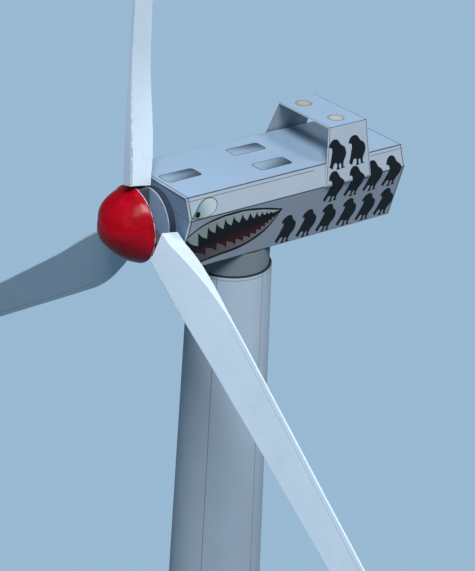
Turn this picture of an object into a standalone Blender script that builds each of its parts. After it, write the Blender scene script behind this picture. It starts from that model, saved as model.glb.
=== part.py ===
"""Folded-card model of a three-bladed wind turbine, about 1:100, standing on its own tower.

Metres, +Z up. The origin is the middle of the tower's foot, on the ground. The rotor looks
towards -Y, and the printed flank that the picture shows is the +X one.
"""
from math import cos, hypot, pi, radians, sin

import bmesh
import bpy
from mathutils import Matrix, Vector

# Card and clearances
CARD = 0.0005            # thickness of the hull's laminated card
STRIP = 0.0004           # thinner card of the folded bridge and of the glued discs
TUBE_WALL = 0.0008       # rolled card tubes
SEAM = 0.00005           # half of the gap kept at each glued fold
SEAT = 0.0003            # gap where one piece rests on another

# Tower
TOWER_HEIGHT = 0.560
TOWER_TOP_RADIUS = 0.01572
TOWER_TAPER = 0.0215     # growth of the radius for each metre downwards
TOWER_JOINT_Z = 0.280    # the tube is rolled from two sheets, butted here
FOOT_DISC = 0.002
TOP_DISC_DEPTH = 0.012   # below the rim
TOP_DISC = 0.0015

# Nacelle: a six-sided folded hull, widest at the crease along each flank
NACELLE_LENGTH = 0.100
NACELLE_FRONT = 0.03443  # from the tower's axis forward to the front plate
CREASE_Z = TOWER_HEIGHT + 0.03198
ROOF_HALF = 0.01783
CREASE_HALF = 0.02068
FLOOR_HALF = 0.01415
ROOF_RISE = 0.00801      # crease up to the roof
FLOOR_DROP = 0.0226      # crease down to the floor
NECK_RADIUS = 0.0147

# Bridge: a card strip folded over the roof near the rear
BRIDGE_RISE = 0.0205     # crease up to its flat top
BRIDGE_HALF = 0.0152
BRIDGE_TOP_Y = (0.0655, 0.0835)    # along the nacelle from its front plate
BRIDGE_FOOT_Y = (0.0608, 0.0826)
BRIDGE_FOOT_HALF = 0.0212

# Rotor: its axis lies a little under the crease
HUB_DROP = 0.00642
SHAFT_RADIUS = 0.0015
SHAFT_HOLE = 0.0019
SHAFT_REACH = 0.014      # behind the front plate
BEARING_RADIUS = 0.0121
BEARING_DEPTH = 0.003
SPINNER_RADIUS = 0.01424
SPINNER_LENGTH = 0.01303
SPINNER_BACK = 0.0105    # forward of the front plate
SPINNER_RINGS = 12
RING_CROWDING = 1.4      # rings stand closer together near the spinner's rim
SPINNER_CURVE = (1.05, 2.1)    # radius = (1 - share ** first) ** (1 / second)
HUB_APOTHEM = 0.005
HUB_BACK = 0.0042
SOCKET_WIDTH = (-0.0032, 0.0015)   # across, clockwise side positive
SOCKET_DEPTH = (-0.0096, -0.0044)  # along the axis, from the front plate
SOCKET_SHORT = 0.0036              # a socket ends this far short of its blade's root

# Blades, one outline: chord places are measured from the blade's own radial line
STRAIGHT_EDGE = 0.0024   # the straight edge would cross the hub's middle here
STRAIGHT_SLOPE = -0.044
STRAIGHT_BULGE = 0.0008  # its slight outward bend near the root
ROOT_CHORD = 0.0084
SWELL = 0.0106           # how much the curved edge swells out beyond the root
SWELL_START = 0.011
SWELL_LENGTH = 0.050
CURVED_SLOPE = 0.014
EDGE_THICK = 0.0008
NOSE_THICK = 0.0011
NOSE_ROOT_THICK = 0.0027
WALL_FADE = (0.014, 0.046)     # where the wall along the curved edge starts to flatten, and over what length
NOSE_FADE = (0.020, 0.045)     # the same for the wall along the straight edge
ROOT_SLANT = 0.30        # the root end is cut on a slant
STATIONS = (0.018, 0.022, 0.027, 0.033, 0.040, 0.048, 0.058, 0.073, 0.100, 0.140, 0.190, 0.240, 0.285)
TIP_STATIONS = ((0.295, 0.92), (0.301, 0.72), (0.305, 0.40))

# Each blade was glued by hand: azimuth, pitch and forward lean in degrees, seat in front of
# the front plate, start of the root, depth of the box at the root
BLADES = {
    "blade_1": (0.2, -54.6, -0.65, 0.0140, 0.0166, 0.0060),
    "blade_2": (121.9, -11.3, 2.4, 0.0095, 0.0154, 0.0074),
    "blade_3": (237.4, -27.5, -1.0, 0.0096, 0.0146, 0.0036),
}

# Sides of the round pieces
ROUND_STEPS = 48
SPINNER_STEPS = 40
HOLE_STEPS = 24
SHAFT_STEPS = 16
MERGE = 1e-7             # points closer than this are one


def clear_scene():
    """Remove whatever the scene holds."""
    for thing in list(bpy.data.objects):
        bpy.data.objects.remove(thing, do_unlink=True)


def material(name, colour, roughness, metallic=0.0):
    """One plain material for each kind of card or paint."""
    made = bpy.data.materials.new(name)
    made.use_nodes = True
    shader = made.node_tree.nodes["Principled BSDF"]
    shader.inputs["Base Color"].default_value = (*colour, 1.0)
    shader.inputs["Roughness"].default_value = roughness
    shader.inputs["Metallic"].default_value = metallic
    return made


def empty(name, place, parent=None):
    """A joint's axis, or a base that carries a group of pieces."""
    made = bpy.data.objects.new(name, None)
    bpy.context.scene.collection.objects.link(made)
    made.parent = parent
    made.location = place
    return made


def finish(name, bm, look, parent, matrix=None, smooth=False):
    """Turn a bmesh into a named object with its faces pointing out."""
    bmesh.ops.recalc_face_normals(bm, faces=bm.faces)
    mesh = bpy.data.meshes.new(name)
    bm.to_mesh(mesh)
    bm.free()
    mesh.materials.append(look)
    if smooth:
        mesh.shade_smooth()
        mesh.set_sharp_from_angle(angle=radians(35))
    made = bpy.data.objects.new(name, mesh)
    bpy.context.scene.collection.objects.link(made)
    made.parent = parent
    if matrix is not None:
        made.matrix_basis = matrix
    return made


def turned(profile, axis, steps=ROUND_STEPS):
    """Spin a closed profile of (radius, height) points round the axis named Y or Z."""
    bm = bmesh.new()
    if axis == "Z":
        points = [(radius, 0.0, height) for radius, height in profile]
        direction = (0.0, 0.0, 1.0)
    else:
        points = [(radius, height, 0.0) for radius, height in profile]
        direction = (0.0, 1.0, 0.0)
    verts = [bm.verts.new(point) for point in points]
    closed = all(radius > 0.0 for radius, _ in profile)
    edges = [bm.edges.new(pair) for pair in zip(verts, verts[1:])]
    if closed:
        edges.append(bm.edges.new((verts[-1], verts[0])))
    bmesh.ops.spin(bm, geom=verts + edges, cent=(0.0, 0.0, 0.0), axis=direction,
                   angle=2.0 * pi, steps=steps, use_merge=True)
    bmesh.ops.remove_doubles(bm, verts=bm.verts, dist=MERGE)
    return bm


def slab(outline, depth):
    """A flat face through the outline's points, extruded along the depth vector."""
    bm = bmesh.new()
    face = bm.faces.new([bm.verts.new(point) for point in outline])
    grown = bmesh.ops.extrude_face_region(bm, geom=[face])
    moved = [part for part in grown["geom"] if isinstance(part, bmesh.types.BMVert)]
    bmesh.ops.translate(bm, verts=moved, vec=depth)
    return bm


def tower_radius(height):
    """Outer radius of the tower at a height above the ground."""
    return TOWER_TOP_RADIUS + TOWER_TAPER * (TOWER_HEIGHT - height)


def tower_tube(name, low, high, look, base):
    """One rolled section of the tower."""
    profile = [(tower_radius(low), low), (tower_radius(high), high),
               (tower_radius(high) - TUBE_WALL, high), (tower_radius(low) - TUBE_WALL, low)]
    return finish(name, turned(profile, "Z"), look, base, smooth=True)


def disc(name, radius, low, high, look, base, axis="Z", hole=0.0, steps=ROUND_STEPS):
    """A round of card, whole or with a hole for the shaft."""
    profile = [(hole, low), (radius, low), (radius, high), (hole, high)]
    return finish(name, turned(profile, axis, steps), look, base, smooth=True)


def hull_corners(inset):
    """The hull's six corners, clockwise from the right end of the roof, moved inwards by inset."""
    corners = [Vector((ROOF_HALF, ROOF_RISE)), Vector((CREASE_HALF, 0.0)), Vector((FLOOR_HALF, -FLOOR_DROP)),
               Vector((-FLOOR_HALF, -FLOOR_DROP)), Vector((-CREASE_HALF, 0.0)), Vector((-ROOF_HALF, ROOF_RISE))]
    moved = []
    for index, corner in enumerate(corners):
        before = (corner - corners[index - 1]).normalized()
        after = (corners[(index + 1) % len(corners)] - corner).normalized()
        inward_before = Vector((before.y, -before.x))
        inward_after = Vector((after.y, -after.x))
        middle = (inward_before + inward_after).normalized()
        moved.append(corner + middle * (inset / middle.dot(inward_after)))
    return moved


def hull_panel(name, index, look, nacelle):
    """One face of the folded hull, mitred to its neighbours at both folds."""
    outer = hull_corners(0.0)
    inner = hull_corners(CARD)
    following = (index + 1) % len(outer)
    along = (outer[following] - outer[index]).normalized() * SEAM
    points = [outer[index] + along, outer[following] - along, inner[following] - along, inner[index] + along]
    start = CARD + SEAM
    outline = [(point.x, start, point.y) for point in points]
    return finish(name, slab(outline, (0.0, NACELLE_LENGTH - 2.0 * start, 0.0)), look, nacelle)


def front_plate(look, nacelle):
    """The hull's front, a ring of card round the shaft's hole."""
    bm = bmesh.new()
    rim = [bm.verts.new((point.x, 0.0, point.y)) for point in hull_corners(0.0)]
    for index, vert in enumerate(rim):
        bm.edges.new((rim[index - 1], vert))
    turn = Matrix.Translation((0.0, 0.0, -HUB_DROP)) @ Matrix.Rotation(radians(90), 4, "X")
    bmesh.ops.create_circle(bm, cap_ends=False, segments=HOLE_STEPS, radius=SHAFT_HOLE, matrix=turn)
    bmesh.ops.triangle_fill(bm, use_beauty=True, use_dissolve=False, edges=bm.edges)
    grown = bmesh.ops.extrude_face_region(bm, geom=bm.faces[:])
    moved = [part for part in grown["geom"] if isinstance(part, bmesh.types.BMVert)]
    bmesh.ops.translate(bm, verts=moved, vec=(0.0, CARD, 0.0))
    return finish("front_plate", bm, look, nacelle)


def rear_plate(look, nacelle):
    """The hull's rear, a whole plate."""
    outline = [(point.x, NACELLE_LENGTH - CARD, point.y) for point in hull_corners(0.0)]
    return finish("rear_plate", slab(outline, (0.0, CARD, 0.0)), look, nacelle)


def bridge_leg(name, side, look, nacelle):
    """A leg of the bridge, from the fold at its top down to the hull's crease."""
    top = Vector((BRIDGE_HALF, BRIDGE_RISE))
    foot = Vector((BRIDGE_FOOT_HALF, 0.0))
    down = (foot - top).normalized()
    head = top + down * SEAM
    inward = Vector((down.y, -down.x)) * STRIP
    outline = [(side * head.x, BRIDGE_TOP_Y[0], head.y), (side * head.x, BRIDGE_TOP_Y[1], head.y),
               (side * foot.x, BRIDGE_FOOT_Y[1], foot.y), (side * foot.x, BRIDGE_FOOT_Y[0], foot.y)]
    return finish(name, slab(outline, (side * inward.x, 0.0, inward.y)), look, nacelle)


def bridge_top(look, nacelle):
    """The flat top of the bridge, carried by its two legs at the folds."""
    slope = (BRIDGE_FOOT_HALF - BRIDGE_HALF) / BRIDGE_RISE
    lean = hypot(1.0, slope)
    half = BRIDGE_HALF - STRIP * lean + STRIP * slope - 2.0 * SEAM
    outline = [(-half, BRIDGE_TOP_Y[0], BRIDGE_RISE), (half, BRIDGE_TOP_Y[0], BRIDGE_RISE),
               (half, BRIDGE_TOP_Y[1], BRIDGE_RISE), (-half, BRIDGE_TOP_Y[1], BRIDGE_RISE)]
    return finish("bridge_top", slab(outline, (0.0, 0.0, -STRIP)), look, nacelle)


def spinner(look, rotor):
    """The round red nose, a paraboloid turned about the rotor's axis."""
    profile = [(0.0, 0.0)]
    along, across = SPINNER_CURVE
    for step in range(SPINNER_RINGS):
        share = (step / SPINNER_RINGS) ** RING_CROWDING
        radius = SPINNER_RADIUS * (1.0 - share ** along) ** (1.0 / across)
        profile.append((radius, -share * SPINNER_LENGTH))
    profile.append((0.0, -SPINNER_LENGTH))
    place = Matrix.Translation((0.0, -SPINNER_BACK, 0.0))
    return finish("spinner", turned(profile, "Y", SPINNER_STEPS), look, rotor, place, smooth=True)


def hub_core(look, rotor):
    """A six-sided core between the spinner's disc and the bearing."""
    bm = bmesh.new()
    front = SPINNER_BACK - STRIP - 2.0 * SEAM
    depth = front - HUB_BACK
    turn = Matrix.Translation((0.0, -HUB_BACK - depth / 2.0, 0.0)) @ Matrix.Rotation(radians(90), 4, "X")
    turn = turn @ Matrix.Rotation(radians(30), 4, "Z")
    radius = HUB_APOTHEM / cos(radians(30))
    bmesh.ops.create_cone(bm, cap_ends=True, cap_tris=False, segments=6, radius1=radius, radius2=radius,
                          depth=depth, matrix=turn)
    return finish("hub_core", bm, look, rotor)


def blade_frame(azimuth, pitch, lean, seat):
    """Where a blade stands in the rotor: local Z runs out along it, local Y to its back."""
    return (Matrix.Rotation(radians(azimuth), 4, "Y") @ Matrix.Translation((0.0, -seat, 0.0))
            @ Matrix.Rotation(radians(lean), 4, "X") @ Matrix.Rotation(radians(pitch), 4, "Z"))


def blade_socket(name, azimuth, reach, look, rotor):
    """The box that stands out of the hub's core under one blade."""
    start = HUB_APOTHEM + SEAT
    low, high = SOCKET_WIDTH
    front, back = SOCKET_DEPTH
    outline = [(low, front, start), (high, front, start), (high, back, start), (low, back, start)]
    turn = Matrix.Rotation(radians(azimuth), 4, "Y")
    return finish(name, slab(outline, (0.0, 0.0, reach - start)), look, rotor, turn)


def faded(reach, fade):
    """Smooth step from 0 to 1 along the blade, from a start over a length."""
    start, length = fade
    share = min(1.0, max(0.0, (reach - start) / length))
    return share * share * (3.0 - 2.0 * share)


def blade_section(reach, root_depth):
    """Corners of the folded blade at one reach: straight edge, curved edge, then back."""
    share = min(1.0, (reach - SWELL_START) / SWELL_LENGTH)
    straight = STRAIGHT_EDGE + STRAIGHT_SLOPE * reach + STRAIGHT_BULGE * sin(pi * share)
    swell = sin(pi / 2.0 * share)
    curved = -ROOT_CHORD - SWELL * swell + CURVED_SLOPE * max(0.0, reach - SWELL_START - SWELL_LENGTH)
    depth = EDGE_THICK + (root_depth - EDGE_THICK) * (1.0 - faded(reach, WALL_FADE))
    nose = NOSE_THICK + (NOSE_ROOT_THICK - NOSE_THICK) * (1.0 - faded(reach, NOSE_FADE))
    return straight, curved, depth, nose


def blade(name, azimuth, pitch, lean, seat, root, root_depth, look, rotor):
    """A blade folded from one sheet: a box at the root that flattens into a thin blade."""
    rows = []
    straight, curved, depth, nose = blade_section(root, root_depth)
    slant = [root + ROOT_SLANT * (place - STRAIGHT_EDGE) for place in (straight, curved)]
    rows.append([(straight, 0.0, slant[0]), (curved, 0.0, slant[1]),
                 (curved, depth, slant[1]), (straight, nose, slant[0])])
    for reach in STATIONS:
        straight, curved, depth, nose = blade_section(reach, root_depth)
        rows.append([(straight, 0.0, reach), (curved, 0.0, reach), (curved, depth, reach), (straight, nose, reach)])
    for reach, share in TIP_STATIONS:
        straight, curved, depth, nose = blade_section(reach, root_depth)
        middle = (straight + curved) / 2.0
        half = (straight - curved) / 2.0 * share
        rows.append([(middle + half, 0.0, reach), (middle - half, 0.0, reach),
                     (middle - half, depth, reach), (middle + half, nose, reach)])
    bm = bmesh.new()
    face = bm.faces.new([bm.verts.new(point) for point in rows[0]])
    for row in rows[1:]:
        grown = bmesh.ops.extrude_face_region(bm, geom=[face, *face.edges])
        face = next(part for part in grown["geom"] if isinstance(part, bmesh.types.BMFace))
        for vert, point in zip(face.verts, row):
            vert.co = point
    return finish(name, bm, look, rotor, blade_frame(azimuth, pitch, lean, seat))


def build_tower(card, base):
    """The rolled tower with its foot disc and the disc that carries the neck."""
    tower_tube("tower_lower_tube", 0.0, TOWER_JOINT_Z - SEAM, card, base)
    tower_tube("tower_upper_tube", TOWER_JOINT_Z + SEAM, TOWER_HEIGHT, card, base)
    foot_radius = tower_radius(FOOT_DISC) - TUBE_WALL - 2.0 * SEAM
    disc("tower_foot_disc", foot_radius, 0.0, FOOT_DISC, card, base)
    top = TOWER_HEIGHT - TOP_DISC_DEPTH
    disc("tower_top_disc", tower_radius(top) - TUBE_WALL - 2.0 * SEAM, top - TOP_DISC, top, card, base)


def build_nacelle(looks, nacelle):
    """The hull's faces, its two plates, the neck below, the bridge above and the bearing in front."""
    names = ("right_upper_side", "right_lower_side", "floor_panel", "left_lower_side", "left_upper_side", "roof_panel")
    for index, name in enumerate(names):
        hull_panel(name, index, looks["roof"] if name == "roof_panel" else looks["flank"], nacelle)
    front_plate(looks["plate"], nacelle)
    rear_plate(looks["flank"], nacelle)
    bridge_leg("bridge_leg_right", 1.0, looks["flank"], nacelle)
    bridge_leg("bridge_leg_left", -1.0, looks["flank"], nacelle)
    bridge_top(looks["roof"], nacelle)
    neck_top = -FLOOR_DROP - 2.0 * SEAM
    neck_low = TOWER_HEIGHT - TOP_DISC_DEPTH + SEAT - CREASE_Z
    wall = NECK_RADIUS - TUBE_WALL
    place = Matrix.Translation((0.0, NACELLE_FRONT, 0.0))
    profile = [(NECK_RADIUS, neck_low), (NECK_RADIUS, neck_top), (wall, neck_top), (wall, neck_low)]
    finish("neck_tube", turned(profile, "Z"), looks["flank"], nacelle, place, smooth=True)
    sole = disc("neck_foot_disc", wall - 2.0 * SEAM, neck_low, neck_low + TOP_DISC, looks["flank"], nacelle)
    sole.matrix_basis = place
    axis = Matrix.Translation((0.0, 0.0, -HUB_DROP))
    drum_front = -BEARING_DEPTH + STRIP + SEAM
    drum = disc("bearing_drum", BEARING_RADIUS - STRIP, drum_front, -SEAM, looks["plate"], nacelle, "Y", SHAFT_HOLE)
    drum.matrix_basis = axis
    ring = disc("bearing_disc", BEARING_RADIUS, -BEARING_DEPTH, -BEARING_DEPTH + STRIP, looks["plate"], nacelle,
                "Y", SHAFT_HOLE)
    ring.matrix_basis = axis


def build_rotor(looks, rotor):
    """Shaft, hub core with its sockets, the spinner on its disc and the three blades."""
    disc("rotor_shaft", SHAFT_RADIUS, -HUB_BACK + 2.0 * SEAM, SHAFT_REACH, looks["shaft"], rotor, "Y", steps=SHAFT_STEPS)
    disc("spinner_disc", SPINNER_RADIUS + 2.0 * SEAM, -SPINNER_BACK + SEAM, -SPINNER_BACK + STRIP + SEAM,
         looks["red"], rotor, "Y")
    spinner(looks["red"], rotor)
    hub_core(looks["hub"], rotor)
    for name, (azimuth, pitch, lean, seat, root, root_depth) in BLADES.items():
        blade_socket(name.replace("blade", "blade_socket"), azimuth, root - SOCKET_SHORT, looks["hub"], rotor)
        blade(name, azimuth, pitch, lean, seat, root, root_depth, looks["blade"], rotor)


def main():
    clear_scene()
    looks = {
        "tower": material("tower_card", (0.46, 0.50, 0.56), 0.7),
        "flank": material("flank_card", (0.42, 0.48, 0.54), 0.7),
        "roof": material("roof_card", (0.50, 0.57, 0.65), 0.7),
        "plate": material("plate_card", (0.16, 0.20, 0.26), 0.7),
        "hub": material("hub_card", (0.14, 0.13, 0.14), 0.7),
        "blade": material("blade_card", (0.80, 0.82, 0.85), 0.65),
        "red": material("spinner_paint", (0.55, 0.01, 0.015), 0.3),
        "shaft": material("shaft_wood", (0.55, 0.38, 0.20), 0.6),
    }
    base = empty("tower_base", (0.0, 0.0, 0.0))
    yaw = empty("yaw_axis", (0.0, 0.0, TOWER_HEIGHT), base)
    nacelle = empty("nacelle_frame", (0.0, -NACELLE_FRONT, CREASE_Z - TOWER_HEIGHT), yaw)
    rotor = empty("rotor_axis", (0.0, 0.0, -HUB_DROP), nacelle)
    build_tower(looks["tower"], base)
    build_nacelle(looks, nacelle)
    build_rotor(looks, rotor)


main()
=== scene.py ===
# %% [markdown]
# # A card model of a wind turbine
# The imported parts are loaded first, as a fixed frame. Each part has its real size and place, in metres, so
# every new piece goes exactly where the part that it stands for is. The dressed model may not grow out of
# it.

# %% Load the frame
from math import cos, hypot, pi, radians, sin

import bmesh
import bpy
from mathutils import Matrix, Vector, noise


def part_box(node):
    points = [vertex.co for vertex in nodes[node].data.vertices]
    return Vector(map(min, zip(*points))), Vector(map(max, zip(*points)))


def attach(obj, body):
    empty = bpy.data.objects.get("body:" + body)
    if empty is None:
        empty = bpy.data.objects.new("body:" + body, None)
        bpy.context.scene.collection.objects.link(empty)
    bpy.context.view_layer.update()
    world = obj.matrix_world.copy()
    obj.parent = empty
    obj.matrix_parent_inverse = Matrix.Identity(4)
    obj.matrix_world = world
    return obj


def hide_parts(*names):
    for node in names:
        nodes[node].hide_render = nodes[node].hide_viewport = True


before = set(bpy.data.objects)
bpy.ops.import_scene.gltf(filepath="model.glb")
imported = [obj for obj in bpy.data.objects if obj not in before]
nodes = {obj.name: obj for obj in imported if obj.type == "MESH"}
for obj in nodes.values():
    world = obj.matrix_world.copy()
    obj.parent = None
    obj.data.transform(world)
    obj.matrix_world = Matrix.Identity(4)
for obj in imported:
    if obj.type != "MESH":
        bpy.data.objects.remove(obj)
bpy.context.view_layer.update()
MM = 0.001
print("nodes:", len(nodes))


# %% [markdown]
# ## The camera
# The photo was taken from the front and the right, a little above the nacelle. A long lens keeps the far
# end of the hull almost as large as the near one. The camera is placed by the hull's folds, the tower's rim
# and the nose.

# %% The camera
def camera_turn(azimuth, elevation, roll):
    """The camera's right, up and back directions, as the columns of a matrix."""
    back = Vector((sin(azimuth) * cos(elevation), -cos(azimuth) * cos(elevation), sin(elevation)))
    right = (-back).cross(Vector((0.0, 0.0, 1.0))).normalized()
    up = back.cross(right)
    rolled = right * cos(roll) + up * sin(roll)
    raised = up * cos(roll) - right * sin(roll)
    return Matrix((rolled, raised, back)).transposed()


CAMERA_PLACE = (0.4588, -0.35433, 0.84168)
AZIMUTH, ELEVATION, ROLL = 52.0, 26.76, 3.08

camera_data = bpy.data.cameras.new("photo_camera")
camera_data.lens = 107.7
camera_data.sensor_width = 36.0
camera_data.clip_start = 0.05
camera = bpy.data.objects.new("photo_camera", camera_data)
bpy.context.scene.collection.objects.link(camera)
turn = camera_turn(radians(AZIMUTH), radians(ELEVATION), radians(ROLL)).to_4x4()
camera.matrix_world = Matrix.Translation(CAMERA_PLACE) @ turn
bpy.context.scene.camera = camera
print("camera at", tuple(round(value, 3) for value in camera.location))


# %% [markdown]
# ## Light and floor
# A large soft lamp hangs high in front and to the right, so faces that look up are light and faces that
# look down stay darker, as in the photo. One behind and to the right lights the back of the upright blade,
# and a weak one lights the far side, which is seen when the model is turned. The sky around is dim, so it
# lifts the shadows a little, but it is shown pale. The floor has a light of its own and gives none back: a
# pale floor under the model would otherwise brighten its underside, which the photo shows dark.

# %% Lamps
def soft_lamp(name, place, target, size, power, tint):
    """A square area lamp that looks at a point and doesn't show itself."""
    data = bpy.data.lights.new(name, "AREA")
    data.shape = "SQUARE"
    data.size = size
    data.energy = power
    data.color = tint
    lamp = bpy.data.objects.new(name, data)
    bpy.context.scene.collection.objects.link(lamp)
    lamp.location = place
    lamp.rotation_euler = (Vector(target) - Vector(place)).to_track_quat("-Z", "Y").to_euler()
    lamp.visible_camera = False
    return lamp


hub = Vector((0.0, -0.034, 0.586))
key_lamp = soft_lamp("key_lamp", (0.96, -0.60, 2.20), hub, 0.8, 10.6, (0.81, 0.91, 1.0))
key_lamp.data.spread = radians(80.0)
rear_lamp = soft_lamp("rear_lamp", (0.75, 0.95, 2.20), hub, 0.6, 17.0, (0.82, 0.92, 1.0))
far_side_lamp = soft_lamp("far_side_lamp", (-1.30, 1.15, 0.95), hub, 0.9, 4.0, (0.86, 0.93, 1.0))
model_lamps = (key_lamp, rear_lamp, far_side_lamp)
print("lamps for the model:", [lamp.name for lamp in model_lamps])

# %% The sky
world = bpy.data.worlds.new("studio")
world.use_nodes = True
studio = world.node_tree.nodes["Background"]
studio.inputs["Color"].default_value = (0.34, 0.68, 1.0, 1.0)
studio.inputs["Strength"].default_value = 0.17
pale = world.node_tree.nodes.new("ShaderNodeBackground")
pale.inputs["Color"].default_value = (0.40, 0.53, 0.63, 1.0)
seen = world.node_tree.nodes.new("ShaderNodeLightPath")
shown = world.node_tree.nodes.new("ShaderNodeMixShader")
world.node_tree.links.new(seen.outputs["Is Camera Ray"], shown.inputs["Fac"])
world.node_tree.links.new(studio.outputs["Background"], shown.inputs[1])
world.node_tree.links.new(pale.outputs["Background"], shown.inputs[2])
world.node_tree.links.new(shown.outputs["Shader"], world.node_tree.nodes["World Output"].inputs["Surface"])
bpy.context.scene.world = world
bpy.context.scene.view_settings.view_transform = "Standard"

# %% The floor
floor_bm = bmesh.new()
bmesh.ops.create_grid(floor_bm, x_segments=1, y_segments=1, size=12.0)
floor_mesh = bpy.data.meshes.new("floor")
floor_bm.to_mesh(floor_mesh)
floor_bm.free()
floor = bpy.data.objects.new("floor", floor_mesh)
bpy.context.scene.collection.objects.link(floor)
floor_look = bpy.data.materials.new("floor")
floor_look.use_nodes = True
floor_look.node_tree.nodes["Principled BSDF"].inputs["Base Color"].default_value = (0.37, 0.49, 0.59, 1.0)
floor_look.node_tree.nodes["Principled BSDF"].inputs["Roughness"].default_value = 0.9
floor_mesh.materials.append(floor_look)

# %% The floor's own light
floor_light = bpy.data.lights.new("floor_light", "SUN")
floor_light.energy = 2.9
floor_light.angle = radians(60.0)
floor_light.color = (0.85, 0.94, 1.0)
floor_lamp = bpy.data.objects.new("floor_lamp", floor_light)
bpy.context.scene.collection.objects.link(floor_lamp)
floor.visible_diffuse = False
floor_only = bpy.data.collections.new("floor_only")
floor_only.objects.link(floor)
floor_lamp.light_linking.receiver_collection = floor_only
all_but_floor = bpy.data.collections.new("all_but_floor")
all_but_floor.objects.link(floor)
all_but_floor.collection_objects[0].light_linking.link_state = "EXCLUDE"
for lamp in model_lamps:
    lamp.light_linking.receiver_collection = all_but_floor
print(floor_lamp.name, "lights only the floor")


# %% [markdown]
# ## Writing shader maths as sums
# A printed line is a strip where a distance is smaller than half the line's width, and a hatch is a
# rectangle with round corners. Both are short sums. Wires carry such sums through a material: adding or
# multiplying two wires adds the node that works it out. Colours go through mix nodes, because a maths node
# would turn them grey.

# %% Wires
SOFT_EDGE = 0.04 * MM


class Wire:
    """A socket that can be reckoned with like a number."""

    def __init__(self, finish, socket):
        self.finish = finish
        self.socket = socket

    def maths(self, operation, first, second=0.0):
        return self.finish.maths(operation, first, second)

    def __add__(self, other):
        return self.maths("ADD", self, other)

    def __radd__(self, other):
        return self.maths("ADD", other, self)

    def __sub__(self, other):
        return self.maths("SUBTRACT", self, other)

    def __rsub__(self, other):
        return self.maths("SUBTRACT", other, self)

    def __mul__(self, other):
        return self.maths("MULTIPLY", self, other)

    def __rmul__(self, other):
        return self.maths("MULTIPLY", other, self)

    def __pow__(self, other):
        return self.maths("POWER", self, other)

    def __abs__(self):
        return self.maths("ABSOLUTE", self)

    def least(self, other):
        return self.maths("MINIMUM", self, other)

    def most(self, other):
        return self.maths("MAXIMUM", self, other)

    def below(self, limit, soft=SOFT_EDGE):
        """1 where the value is under the limit, with a soft edge."""
        return self.finish.node("ShaderNodeMapRange", {"interpolation_type": "SMOOTHSTEP"},
                                {"Value": self, "From Min": limit - soft, "From Max": limit + soft,
                                 "To Min": 1.0, "To Max": 0.0})

    def above(self, limit, soft=SOFT_EDGE):
        """1 where the value is over the limit, with a soft edge."""
        return 1.0 - self.below(limit, soft)

    def spread(self, low, high, start=0.0, end=1.0):
        """The value's way from low to high, as a number from start to end."""
        return self.finish.node("ShaderNodeMapRange", {"interpolation_type": "SMOOTHSTEP"},
                                {"Value": self, "From Min": low, "From Max": high, "To Min": start,
                                 "To Max": end})


# %% Finishes
class Finish:
    """A material that is being made. Its shader's constants are set first."""

    def __init__(self, name, **constants):
        self.material = bpy.data.materials.new(name)
        self.material.use_nodes = True
        self.tree = self.material.node_tree
        self.shader = self.tree.nodes["Principled BSDF"]
        for socket, value in constants.items():
            self.shader.inputs[socket.replace("_", " ")].default_value = value

    def node(self, kind, settings=None, values=None, output=0):
        """Any node: its settings come first, then the values or wires of its sockets."""
        made = self.tree.nodes.new(kind)
        for name, setting in (settings or {}).items():
            setattr(made, name, setting)
        for socket, value in (values or {}).items():
            self.feed(made.inputs[socket], value)
        return Wire(self, made.outputs[output])

    def feed(self, socket, value):
        if isinstance(value, Wire):
            self.tree.links.new(value.socket, socket)
        else:
            socket.default_value = value

    def maths(self, operation, first, second=0.0):
        return self.node("ShaderNodeMath", {"operation": operation}, {0: first, 1: second})

    def mix(self, share, first, second):
        """A colour between two colours, which are sockets 6 and 7 of a Mix node."""
        return self.node("ShaderNodeMix", {"data_type": "RGBA"},
                         {0: share, 6: colour(first), 7: colour(second)}, output=2)

    def multiply(self, tint, factor):
        """A colour made darker or lighter by a factor."""
        return self.node("ShaderNodeMix", {"data_type": "RGBA", "blend_type": "MULTIPLY"},
                         {0: 1.0, 6: colour(tint), 7: factor}, output=2)

    def place(self):
        """Each point's own place, from the Object output."""
        return self.node("ShaderNodeTexCoord", output=3)

    def axes(self, vector):
        """The three numbers of a vector."""
        split = self.tree.nodes.new("ShaderNodeSeparateXYZ")
        self.feed(split.inputs[0], vector)
        return [Wire(self, split.outputs[index]) for index in range(3)]

    def noise(self, vector, size, detail=2.0, roughness=0.5):
        """Soft noise, from 0 to 1, with patches of about the given size in metres."""
        return self.node("ShaderNodeTexNoise", None,
                         {"Vector": vector, "Scale": 1.0 / size, "Detail": detail, "Roughness": roughness})

    def bump(self, height, depth, strength=1.0):
        return self.node("ShaderNodeBump", None, {"Strength": strength, "Distance": depth, "Height": height})

    def ends(self, **wires):
        """Feed wires to the shader's sockets."""
        for socket, value in wires.items():
            self.feed(self.shader.inputs[socket.replace("_", " ")], value)
        return self.material


def colour(value):
    """A colour's three numbers with their fourth, or a wire as it is."""
    return value if isinstance(value, Wire) else (*value, 1.0)


# %% [markdown]
# ## Printed card
# The model is folded from card that a printer has coloured. Card has fine fibres, which show as a faint
# grain, and printed grey is never quite even: it is a little cloudy. So every card finish multiplies its
# tint by a factor near one, made of a fine grain and a slow cloud, and a shallow bump gives the fibres
# their relief.

# %% Colours and card
def print_tint(red, green, blue):
    """A printer's colour from 0 to 255 as the linear numbers that a shader takes."""
    return tuple(((part / 255.0 + 0.055) / 1.055) ** 2.4 for part in (red, green, blue))


INK = print_tint(30, 32, 36)
CARD_EDGE = print_tint(214, 218, 224)


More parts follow.
